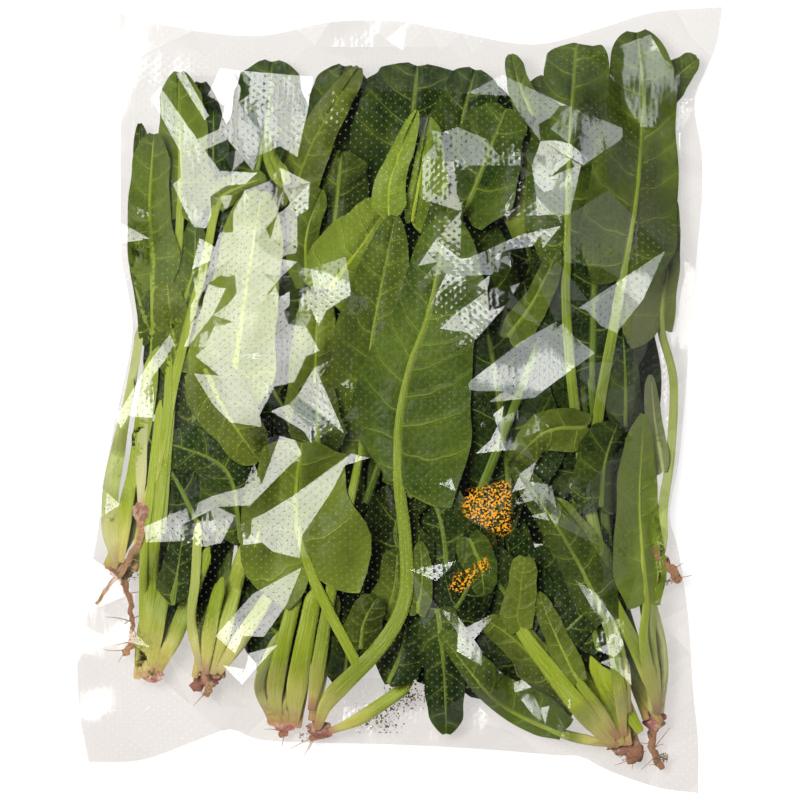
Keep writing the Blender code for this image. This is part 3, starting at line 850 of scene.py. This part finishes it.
class Nodes:
    """A short way to write the node tree of a material or of the world."""

    def __init__(self, owner):
        owner.use_nodes = True
        self.owner = owner
        self.tree = owner.node_tree
        self.tree.nodes.clear()

    def node(self, kind, settings=None, **inputs):
        """A node with these settings, each input a value or the output that feeds it."""
        made = self.tree.nodes.new("ShaderNode" + kind)
        for key, value in (settings or {}).items():
            setattr(made, key, value)
        for key, value in inputs.items():
            self.feed(made.inputs[key.replace("_", " ")], value)
        return made

    def feed(self, socket, value):
        if isinstance(value, bpy.types.NodeSocket):
            self.tree.links.new(value, socket)
        elif isinstance(value, (tuple, list)) and len(value) == 3 and socket.type == "RGBA":
            socket.default_value = (*value, 1)
        else:
            socket.default_value = value

    def maths(self, operation, first, second=0.0, third=0.0):
        made = self.tree.nodes.new("ShaderNodeMath")
        made.operation = operation
        for socket, value in zip(made.inputs, (first, second, third)):
            self.feed(socket, value)
        return made.outputs[0]

    def blend(self, share, first, second):
        """A colour between two."""
        made = self.tree.nodes.new("ShaderNodeMix")
        made.data_type = "RGBA"
        self.feed(made.inputs[0], share)
        self.feed(made.inputs[6], first)
        self.feed(made.inputs[7], second)
        return made.outputs[2]

    def mixed(self, share, first, second):
        """A shader between two."""
        made = self.node("MixShader", Fac=share)
        self.feed(made.inputs[1], first)
        self.feed(made.inputs[2], second)
        return made.outputs[0]

    def step(self, value, low, high, start=0.0, end=1.0):
        """A smooth step of a value, from start at low to end at high."""
        made = self.node("MapRange", {"interpolation_type": "SMOOTHSTEP"}, Value=value)
        made.inputs["From Min"].default_value = low
        made.inputs["From Max"].default_value = high
        made.inputs["To Min"].default_value = start
        made.inputs["To Max"].default_value = end
        return made.outputs[0]

    def value(self, name):
        """A number that the piece's points carry."""
        return self.node("Attribute", {"attribute_name": name}).outputs["Fac"]

    def noise(self, scale, detail=2.0, vector=None, offset=None):
        """Soft noise, its scale in cells for each metre."""
        where = vector or self.node("TexCoord").outputs["Object"]
        if offset is not None:
            shift = self.node("CombineXYZ", X=offset, Y=offset, Z=offset).outputs[0]
            made = self.node("VectorMath", {"operation": "ADD"})
            self.feed(made.inputs[0], where)
            self.feed(made.inputs[1], shift)
            where = made.outputs[0]
        return self.node("TexNoise", Vector=where, Scale=scale, Detail=detail).outputs["Fac"]

    def bump(self, height, strength, distance):
        """Where the surface faces when this height, times a distance in metres, is on it."""
        return self.node("Bump", Strength=strength, Distance=distance, Height=height).outputs[0]

    def skin(self, colour, roughness, bump=None, specular=0.5):
        """An opaque surface."""
        made = self.node("BsdfPrincipled", Base_Color=colour, Roughness=roughness)
        made.inputs["Specular IOR Level"].default_value = specular
        if bump is not None:
            self.feed(made.inputs["Normal"], bump)
        return made.outputs[0]

    def finish(self, shader, kind="OutputMaterial"):
        """Ends the tree with this shader."""
        self.tree.links.new(shader, self.node(kind).inputs["Surface"])
        return self.owner


def flat_uv(n):
    """The two flat coordinates of a piece's surface."""
    made = n.node("UVMap", {"uv_map": "flat"})
    parts = n.node("SeparateXYZ", Vector=made.outputs[0])
    return parts.outputs["X"], parts.outputs["Y"]


def leaf_material():
    """Satin leaf with pale veins, darker or lighter from leaf to leaf. The lowest tones, given to
    the hidden leaves, go near-black as painted shade.
    """
    n = Nodes(bpy.data.materials.new("leaf_skin"))
    tone, pale, seed = n.value("tone"), n.value("pale"), n.value("seed")
    along, side = flat_uv(n)
    edge = n.maths("ABSOLUTE", side)
    other_side = n.maths("MULTIPLY", n.maths("GREATER_THAN", side, 0.0), 0.5)
    waver = n.maths("MULTIPLY_ADD", n.noise(90, 1), 0.36, -0.18)
    vein_place = n.maths("ADD", n.maths("ADD", along, other_side), waver)
    off_vein = n.maths("ABSOLUTE", n.maths("SUBTRACT", n.maths("FRACT", vein_place), 0.5))
    thickness = n.maths("MULTIPLY_ADD", edge, -0.035, 0.048)
    vein = n.step(n.maths("DIVIDE", off_vein, thickness), 0.35, 1.3, 1.0, 0.0)
    halo = n.step(off_vein, 0.03, 0.22, 1.0, 0.0)
    midrib = n.step(edge, 0.02, 0.09, 1.0, 0.0)
    net_cells = n.node("TexVoronoi", {"feature": "DISTANCE_TO_EDGE"}, Scale=230.0,
                       Vector=n.node("TexCoord").outputs["Object"]).outputs["Distance"]
    net = n.step(net_cells, 0.0, 0.12, 1.0, 0.0)
    clouds = n.noise(38, 3, offset=seed)
    mottle = n.noise(300, 2)
    shade = n.maths("ADD", tone, n.maths("MULTIPLY_ADD", clouds, 0.7, -0.38))
    shade = n.maths("ADD", shade, n.maths("MULTIPLY_ADD", halo, 0.09, -0.03))
    shade = n.maths("ADD", shade, n.maths("MULTIPLY_ADD", mottle, 0.2, -0.1))
    dark = n.blend(seed, (0.015, 0.040, 0.006), (0.027, 0.046, 0.004))
    light = n.blend(seed, (0.25, 0.37, 0.035), (0.31, 0.39, 0.045))
    green = n.blend(n.maths("MAXIMUM", shade, 0.0), dark, light)
    # Leaves of the lowest tone go near-black: painted shade for the deep gaps of the pile
    green = n.blend(n.step(shade, -0.45, 0.05, 0.85, 0.0), green, (0.003, 0.008, 0.001))
    green = n.blend(pale, green, (0.34, 0.38, 0.20))
    veined = n.maths("MAXIMUM", n.maths("MULTIPLY", vein, 0.62),
                     n.maths("MAXIMUM", n.maths("MULTIPLY", midrib, 0.7),
                             n.maths("MULTIPLY", net, 0.13)))
    colour = n.blend(veined, green, n.blend(0.45, green, (0.42, 0.54, 0.08)))
    relief = n.maths("MULTIPLY_ADD", vein, -0.5, n.maths("MULTIPLY", halo, -0.5))
    relief = n.maths("ADD", relief, n.maths("MULTIPLY", net_cells, 0.75))
    bump = n.bump(relief, 0.8, 0.0007)
    skin = n.skin(colour, n.maths("MULTIPLY_ADD", clouds, 0.2, 0.24), bump, 0.14)
    glow = n.node("BsdfTranslucent", Color=n.blend(0.5, colour, (0.3, 0.42, 0.03)), Normal=bump)
    return n.finish(n.mixed(0.16, skin, glow.outputs[0]))


def stalk_material():
    """Ribbed stalk: pink at the crown, cream above it, then yellow-green."""
    n = Nodes(bpy.data.materials.new("stalk_skin"))
    tone, pale, far, seed = n.value("tone"), n.value("pale"), n.value("far"), n.value("seed")
    along, around = flat_uv(n)
    uneven = n.maths("MULTIPLY_ADD", n.noise(60, 2, offset=seed), 16.0, -8.0)
    up = n.maths("ADD", far, uneven)
    green = n.blend(tone, (0.12, 0.20, 0.010), (0.44, 0.54, 0.014))
    cream = (0.60, 0.56, 0.13)
    colour = n.blend(n.step(up, 3, 32), cream, green)
    colour = n.blend(n.step(up, -3, 9, 0.8, 0.0), colour, (0.46, 0.15, 0.14))
    colour = n.blend(pale, colour, (0.58, 0.58, 0.34))
    lines = n.node("CombineXYZ", X=n.maths("MULTIPLY", along, 0.03),
                   Y=n.maths("MULTIPLY", around, 2.6), Z=seed).outputs[0]
    streak = n.node("TexNoise", Vector=lines, Scale=2.2, Detail=3.0).outputs["Fac"]
    colour = n.blend(n.step(streak, 0.42, 0.68, 0.0, 0.35), colour,
                     n.blend(0.5, colour, (0.75, 0.78, 0.35)))
    colour = n.blend(n.step(streak, 0.3, 0.46, 0.32, 0.0), colour,
                     n.blend(0.5, colour, (0.05, 0.10, 0.01)))
    relief = n.maths("ADD", streak, n.maths("MULTIPLY", n.noise(900, 2), 0.12))
    return n.finish(n.skin(colour, 0.36, n.bump(relief, 0.5, 0.0008), 0.3))


def crown_material():
    """Pink to brown knot where the stalks join the root."""
    n = Nodes(bpy.data.materials.new("crown_skin"))
    tone = n.value("tone")
    patches = n.noise(260, 3)
    colour = n.blend(tone, (0.42, 0.12, 0.13), (0.24, 0.13, 0.06))
    colour = n.blend(n.step(patches, 0.42, 0.68, 0, 0.8), colour, (0.62, 0.44, 0.27))
    colour = n.blend(n.step(n.noise(700, 3), 0.55, 0.7, 0, 0.7), colour, (0.06, 0.035, 0.02))
    return n.finish(n.skin(colour, 0.6, n.bump(patches, 0.8, 0.0012)))


def root_material():
    """Dull tan root skin with rings and dark soil in its dents."""
    n = Nodes(bpy.data.materials.new("root_skin"))
    tone = n.value("tone")
    along, _ = flat_uv(n)
    colour = n.blend(tone, (0.30, 0.10, 0.08), (0.56, 0.33, 0.13))
    stretched = n.node("CombineXYZ", X=n.maths("MULTIPLY", along, 1.4)).outputs[0]
    rings = n.node("TexNoise", Vector=stretched, Scale=1.0, Detail=3.0).outputs["Fac"]
    colour = n.blend(n.step(rings, 0.4, 0.65, 0.0, 0.5), colour, (0.20, 0.11, 0.06))
    colour = n.blend(n.step(n.noise(800, 3), 0.52, 0.68, 0, 0.7), colour, (0.07, 0.045, 0.03))
    return n.finish(n.skin(colour, 0.75, n.bump(rings, 0.7, 0.0008)))


def soil_material():
    """Dry grey-brown crumbs."""
    n = Nodes(bpy.data.materials.new("soil_crumbs"))
    colour = n.blend(n.value("tone"), (0.13, 0.085, 0.055), (0.34, 0.25, 0.18))
    colour = n.blend(n.step(n.noise(1500, 2), 0.45, 0.6, 0, 0.5), colour, (0.36, 0.28, 0.21))
    return n.finish(n.skin(colour, 0.95))


HOLE_ACROSS = 2.25
HOLE_ALONG = 3.5


def film_material():
    """Thin clear film: fine perforations in staggered rows, each in a small dimple, and a mirror's
    sheen that is weaker where the film slopes steeply."""
    n = Nodes(bpy.data.materials.new("perforated_film"))
    where = n.node("TexCoord").outputs["Object"]
    drift = n.node("VectorMath", {"operation": "MULTIPLY_ADD"})
    soft = n.node("TexNoise", Vector=where, Scale=22.0, Detail=0.0)
    n.feed(drift.inputs[0], soft.outputs["Color"])
    drift.inputs[1].default_value = (0.006, 0.006, 0)
    n.feed(drift.inputs[2], where)
    parts = n.node("SeparateXYZ", Vector=drift.outputs[0])
    column = n.maths("DIVIDE", parts.outputs["X"], HOLE_ACROSS * MM)
    row = n.maths("DIVIDE", parts.outputs["Y"], HOLE_ALONG * MM)
    odd = n.maths("MULTIPLY", n.maths("PINGPONG", n.maths("FLOOR", column), 1.0), 0.5)
    x = n.maths("MULTIPLY", n.maths("SUBTRACT", n.maths("FRACT", column), 0.5), HOLE_ACROSS)
    y = n.maths("SUBTRACT", n.maths("FRACT", n.maths("ADD", row, odd)), 0.5)
    y = n.maths("MULTIPLY", y, HOLE_ALONG)
    gap = n.maths("SQRT", n.maths("ADD", n.maths("MULTIPLY", x, x), n.maths("MULTIPLY", y, y)))
    hole = n.step(gap, 0.22, 0.48, 1.0, 0.0)
    dimple = n.step(gap, 0.0, 1.25, 0.0, 1.0)
    patchy = n.maths("MULTIPLY", n.step(n.noise(30, 1), 0.35, 0.62, 0.3, 1.0),
                     n.value("filled"))
    pressed = n.maths("MULTIPLY", patchy, n.value("loose"))
    wrinkle = n.node("Mapping", Vector=where, Rotation=(0, 0, math.radians(35)),
                     Scale=(1.0, 0.25, 1.0)).outputs[0]
    wrinkles = n.node("TexNoise", Vector=wrinkle, Scale=130.0, Detail=2.0, Roughness=0.55)
    wrinkled = n.maths("MULTIPLY_ADD", n.value("filled"), 0.4, 0.15)
    wrinkled = n.maths("MULTIPLY", wrinkled, n.maths("MULTIPLY_ADD", n.value("loose"), 0.6, 0.4))
    height = n.maths("ADD", n.maths("MULTIPLY", dimple, n.maths("MULTIPLY", pressed, 0.065)),
                     n.maths("MULTIPLY", wrinkles.outputs["Fac"], wrinkled))
    height = n.maths("ADD", height, n.maths("MULTIPLY", n.noise(45, 0), 1.5))
    bump = n.bump(height, 1.0, 0.001)
    low = n.step(n.node("SeparateXYZ", Vector=where).outputs["Y"], -0.10, -0.03, 1.0, 0.0)
    clear = n.blend(low, (0.978, 0.962, 0.950), (0.962, 0.938, 0.922))
    upright = n.node("SeparateXYZ", Vector=n.node("NewGeometry").outputs["Normal"]).outputs["Z"]
    upright = n.maths("ABSOLUTE", upright)
    # The clear colour darkens where the film slopes: painted shade that shows its folds and the
    # pile's shoulder
    sloped_film_shade = n.maths("SQRT", n.maths("SUBTRACT", 1.0, n.maths("MINIMUM", upright, 1.0)))
    sloped_film_shade = n.maths("MULTIPLY", n.maths("MINIMUM", sloped_film_shade, 0.3), 0.35)
    clear = n.blend(sloped_film_shade, clear, (0.0, 0.0, 0.0))
    clear = n.node("BsdfTransparent", Color=clear)
    milky = n.node("BsdfDiffuse", Color=(0.90, 0.90, 0.87))
    shine = n.node("BsdfGlossy", Color=(1, 1, 1), Roughness=0.1, Normal=bump)
    haze = n.maths("MULTIPLY_ADD", n.maths("MULTIPLY", hole, patchy), 0.11, 0.0005)
    body = n.mixed(haze, clear.outputs[0], milky.outputs[0])
    # Orange flecks over the listed facets: a painted reflection of something warm, made as diffuse
    # orange in the film
    fleck = n.maths("MULTIPLY", n.step(n.noise(1000, 1), 0.5, 0.58),
                    n.step(n.value("flecked"), 0.42, 0.7))
    orange = n.node("BsdfDiffuse", Color=(0.95, 0.40, 0.02))
    with_painted_reflection = n.mixed(fleck, body, orange.outputs[0])
    mirror = n.step(upright, 0.75, 0.94, 0.016, 0.068)
    mirror = n.maths("MULTIPLY", mirror, n.maths("MULTIPLY_ADD", hole, -0.85, 1.0))
    surface = n.mixed(mirror, with_painted_reflection, shine.outputs[0])
    lamp_side = n.node("BsdfTransparent", Color=(0.96, 0.955, 0.95))
    paths = n.node("LightPath")
    for kind in ("Is Diffuse Ray", "Is Shadow Ray"):
        surface = n.mixed(paths.outputs[kind], surface, lamp_side.outputs[0])
    return n.finish(surface)


# ---------------------------------------------------------------- the film

def film():
    """The closed film envelope, with what its material reads at each point: whether leaves fill the
    bag there, whether the film is loose and whether it carries the orange flecks of painted
    reflection."""
    flat = bag.points[:, :2]
    room = bag.heights(flat * 0.9999, -1) - bag.heights(flat * 0.9999, 1)
    filled = ease((room - 3) / 8)
    taut = np.maximum.reduce([depth_inside(flat, corners) for corners in TAUT_FACETS])
    flecked = np.maximum.reduce([depth_inside(flat, corners) for corners in ORANGE_REFLECTION_FACETS])
    flecked = np.where(flecked > 0.1, 1.0, 0.45 * (flecked > -0.1))
    piece = Piece("film")
    piece.add(bag.points, [bag.faces], flat, filled=filled, flecked=flecked,
              loose=np.where(taut > -0.1, 0.1, 1.0))
    made = piece.build(film_material(), sharp=5)
    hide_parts(BAG)
    return made


# ---------------------------------------------------------------- the studio

def floor():
    """A pale, evenly lit table."""
    n = Nodes(bpy.data.materials.new("table"))
    mottle = n.step(n.noise(3, 2), 0.3, 0.7, 0.97, 1.0)
    lit = n.node("Emission", Color=(1, 1, 1), Strength=n.maths("MULTIPLY", mottle, 0.78))
    matt = n.node("BsdfDiffuse", Color=(0.3, 0.3, 0.3))
    both = n.node("AddShader")
    n.feed(both.inputs[0], lit.outputs[0])
    n.feed(both.inputs[1], matt.outputs[0])
    material = n.finish(both.outputs[0])
    half = 6.0
    mesh = bpy.data.meshes.new("table")
    mesh.from_pydata([(-half, -half, -0.0003), (half, -half, -0.0003), (half, half, -0.0003),
                      (-half, half, -0.0003)], [], [(0, 1, 2, 3)])
    mesh.materials.append(material)
    made = bpy.data.objects.new("table", mesh)
    bpy.context.scene.collection.objects.link(made)


def softbox(name, aim, tilt, width, length, radiance, colour):
    """A soft area light aimed at the bag."""
    data = bpy.data.lights.new(name, "AREA")
    data.shape = "RECTANGLE"
    data.size, data.size_y = width, length
    data.energy = radiance * math.pi * width * length
    data.color = colour
    lamp = bpy.data.objects.new(name, data)
    lamp.visible_camera = False
    out = heading(aim) * math.sin(math.radians(tilt))
    lamp.location = Vector((out[0], out[1], math.cos(math.radians(tilt)))) * LIGHT_DISTANCE
    lamp.rotation_euler = (-lamp.location).to_track_quat("-Z", "Y").to_euler()
    bpy.context.scene.collection.objects.link(lamp)


LIGHT_DISTANCE = 2.2
# Each step's size in metres and the radiance that it adds
KEY_STEPS = ((1.3, 5.5), (1.0, 3.5), (0.75, 4), (0.5, 7), (0.3, 14))
SIDE_STEPS = ((0.85, 3.5), (0.5, 4.5))


def studio():
    """Two softboxes on the upper left, each one brighter toward its middle in steps, a weak
    one on the right, and a sky that is bright only near the horizon."""
    for k, (size, radiance) in enumerate(KEY_STEPS):
        softbox(f"key_{k}", KEY_HEADING, KEY_TILT, size, size, radiance, (1.0, 0.985, 0.95))
    for k, (size, radiance) in enumerate(SIDE_STEPS):
        softbox(f"side_{k}", SIDE_HEADING, SIDE_TILT, size, size * 1.3, radiance, (0.93, 0.98, 1.0))
    softbox("fill", FILL_HEADING, FILL_TILT, 1.8, 1.8, 0.75, (1.0, 1.0, 1.0))
    n = Nodes(bpy.data.worlds.new("studio"))
    up = n.node("SeparateXYZ", Vector=n.node("TexCoord").outputs["Generated"]).outputs["Z"]
    sky = n.node("Background", Strength=n.step(up, 0.05, 0.55, 0.55, 0.02))
    bpy.context.scene.world = n.finish(sky.outputs[0], "OutputWorld")


CAMERA_HEIGHT = 4.0
VIEW_WIDTH = 0.360
VIEW_LEVEL = 0.030


def camera():
    """Straight above the bag, with its top end up, filling a square picture."""
    data = bpy.data.cameras.new("camera")
    data.lens = data.sensor_width * (CAMERA_HEIGHT - VIEW_LEVEL) / VIEW_WIDTH
    made = bpy.data.objects.new("camera", data)
    made.location = (0, 0, CAMERA_HEIGHT)
    bpy.context.scene.collection.objects.link(made)
    bpy.context.scene.camera = made
    bpy.context.scene.view_settings.view_transform = "Standard"
    bpy.context.scene.cycles.diffuse_bounces = 2
    bpy.context.scene.cycles.glossy_bounces = 1


def main():
    camera()
    studio()
    floor()
    hidden_leaves()
    leaves_between_stalks()
    shown_leaves_top()
    shown_leaves_left()
    shown_stalks()
    shown_leaves_right()
    shown_leaves_middle()
    shown_leaves_bottom()
    crowns_and_roots()
    press_into_bag([leaves_front, leaves_inner, stalks, ribs, crowns, roots, soil])
    leaf_skin = leaf_material()
    stalk_skin = stalk_material()
    leaves_front.build(leaf_skin)
    leaves_inner.build(leaf_skin)
    stalks.build(stalk_skin)
    ribs.build(stalk_skin)
    crowns.build(crown_material())
    roots.build(root_material())
    soil.build(soil_material())
    film()


main()
